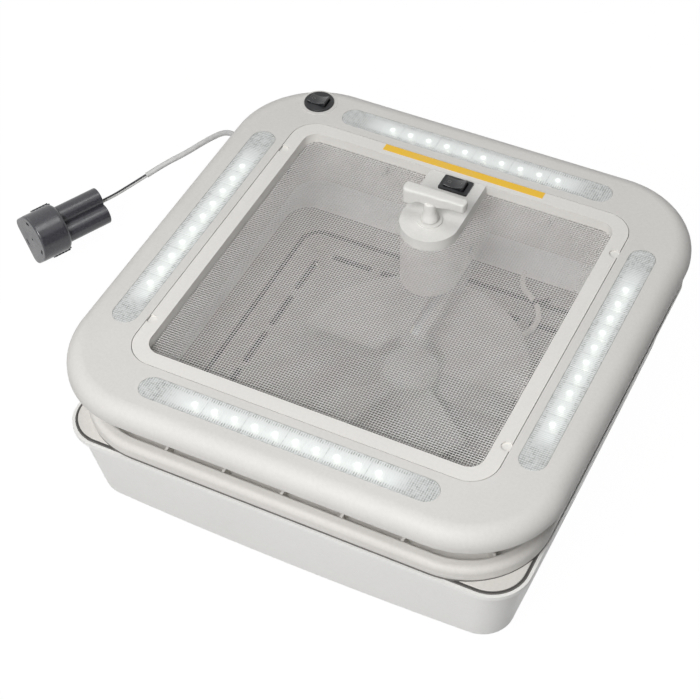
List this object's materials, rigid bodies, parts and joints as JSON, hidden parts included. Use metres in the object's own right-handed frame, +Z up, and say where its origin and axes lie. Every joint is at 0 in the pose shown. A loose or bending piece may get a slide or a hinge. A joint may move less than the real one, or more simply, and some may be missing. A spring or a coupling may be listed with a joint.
{
  "type": "caravan_roof_vent",
  "caption": "Square white roof vent that lies on its lid: lit room-side trim, fly screen, crank-lifted lid with a fan, two rocker switches and a small battery pack on a lead",
  "frame": {"origin": "on the surface that the lid lies on, under the middle of the vent", "axes": "Z up from the lid's outer face to the room side, X along the lid hinge, +Y towards the hinge and the crank"},
  "size_m": [0.5279, 0.36, 0.16],
  "materials": {
    "white_plastic": "fine satin grain, slightly warm white",
    "frame_plastic": "moulded white plastic",
    "lid_plastic": "moulded white lid plastic",
    "liner_plastic": "textured inner panel",
    "clear_lens": "clear to milky light cover",
    "net": "coated fly screen wire",
    "black_plastic": "switch black",
    "rubber": "soft seal rubber",
    "lead_sheath": "pale grey round cable sheath",
    "lead_core": "thin insulated cores",
    "steel": "plated steel",
    "screw_steel": "zinc plated screws",
    "gear_nylon": "natural nylon",
    "brass": "copper alloy contacts",
    "board": "white circuit board",
    "diode": "yellow phosphor",
    "label": "blank yellow strip",
    "pack_plastic": "dark pack plastic",
    "latch_plastic": "ribbed latch plastic",
    "cell_wrap": "shrink wrap"
  },
  "bodies": {
    "frame": {"base_frame": "frame_plastic", "inner_trim": "white_plastic", "screen_frame": "white_plastic", "fly_screen": "net", "screen_clips": "steel", "label_strip": "label", "trim_screws": "screw_steel", "hinge_pins": "steel", "operator_housing": "frame_plastic", "operator_cover": "white_plastic", "housing_screws": "screw_steel", "fan_switch_body": "black_plastic", "light_switch_body": "black_plastic", "led_diodes": "diode", "cord_gland": "rubber", "power_lead": "lead_sheath", "lead_cores": "lead_core", "battery_base": "pack_plastic", "battery_stem": "pack_plastic", "battery_cells": "cell_wrap", "battery_contacts": "brass", "led_lens_front": "clear_lens", "led_lens_right": "clear_lens", "led_lens_back": "clear_lens", "led_lens_left": "clear_lens", "led_board_front": "board", "led_board_right": "board", "led_board_back": "board", "led_board_left": "board"},
    "lid": {"lid_shell": "lid_plastic", "lid_liner": "liner_plastic", "lid_seal": "rubber", "liner_screws": "screw_steel", "slide_track": "frame_plastic", "fan_cowl": "frame_plastic", "track_screws": "screw_steel", "fan_motor": "black_plastic", "fan_lead": "lead_sheath", "lead_tie": "black_plastic"},
    "fan_rotor": {"fan_shaft": "steel", "fan_impeller": "black_plastic", "hub_cap": "black_plastic", "hub_screws": "screw_steel"},
    "arm": {"gear_sector": "gear_nylon", "lift_shaft": "steel", "lift_bushes": "gear_nylon", "lift_arm": "steel", "arm_glide": "gear_nylon"},
    "crank": {"crank_knob": "white_plastic", "crank_shaft": "steel", "worm": "gear_nylon"},
    "fan_rocker": {"fan_rocker": "black_plastic"},
    "light_rocker": {"light_rocker": "black_plastic"},
    "latch_left": {"battery_latch_left": "latch_plastic"},
    "latch_right": {"battery_latch_right": "latch_plastic"}
  },
  "joints": [
    {"name": "lid_hinge", "type": "hinge", "parent": "frame", "child": "lid", "pos_m": [0, 0.176, 0.07], "axis": [1, 0, 0], "range_deg": [0, 45]},
    {"name": "arm_pivot", "type": "hinge", "parent": "frame", "child": "arm", "pos_m": [0, 0.099, 0.09], "axis": [1, 0, 0], "range_deg": [0, 90]},
    {"name": "crank_turn", "type": "hinge", "parent": "frame", "child": "crank", "pos_m": [0, 0.072, 0.09], "axis": [0, 0, 1], "range_deg": [0, 1440]},
    {"name": "fan_spin", "type": "hinge", "parent": "lid", "child": "fan_rotor", "pos_m": [0.014, 0.01, 0.038], "axis": [0, 0, 1], "continuous": true},
    {"name": "fan_rocker_tip", "type": "hinge", "parent": "frame", "child": "fan_rocker", "pos_m": [0.002, 0.113, 0.1341], "axis": [0, 1, 0], "range_deg": [0, 14]},
    {"name": "light_rocker_tip", "type": "hinge", "parent": "frame", "child": "light_rocker", "pos_m": [-0.1315, 0.155, 0.1345], "axis": [0, 1, 0], "range_deg": [0, 14]},
    {"name": "latch_left_slide", "type": "slide", "parent": "frame", "child": "latch_left", "axis": [0.63, -0.321, -0.7071], "range_m": [0, 0.0016], "stiffness_N_per_m": 400},
    {"name": "latch_right_slide", "type": "slide", "parent": "frame", "child": "latch_right", "axis": [-0.63, 0.321, 0.7071], "range_m": [0, 0.0016], "stiffness_N_per_m": 400}
  ],
  "couplings": [
    {"joint": "arm_pivot", "follows": "lid_hinge", "ratio": 2},
    {"joint": "crank_turn", "follows": "lid_hinge", "ratio": 32}
  ]
}
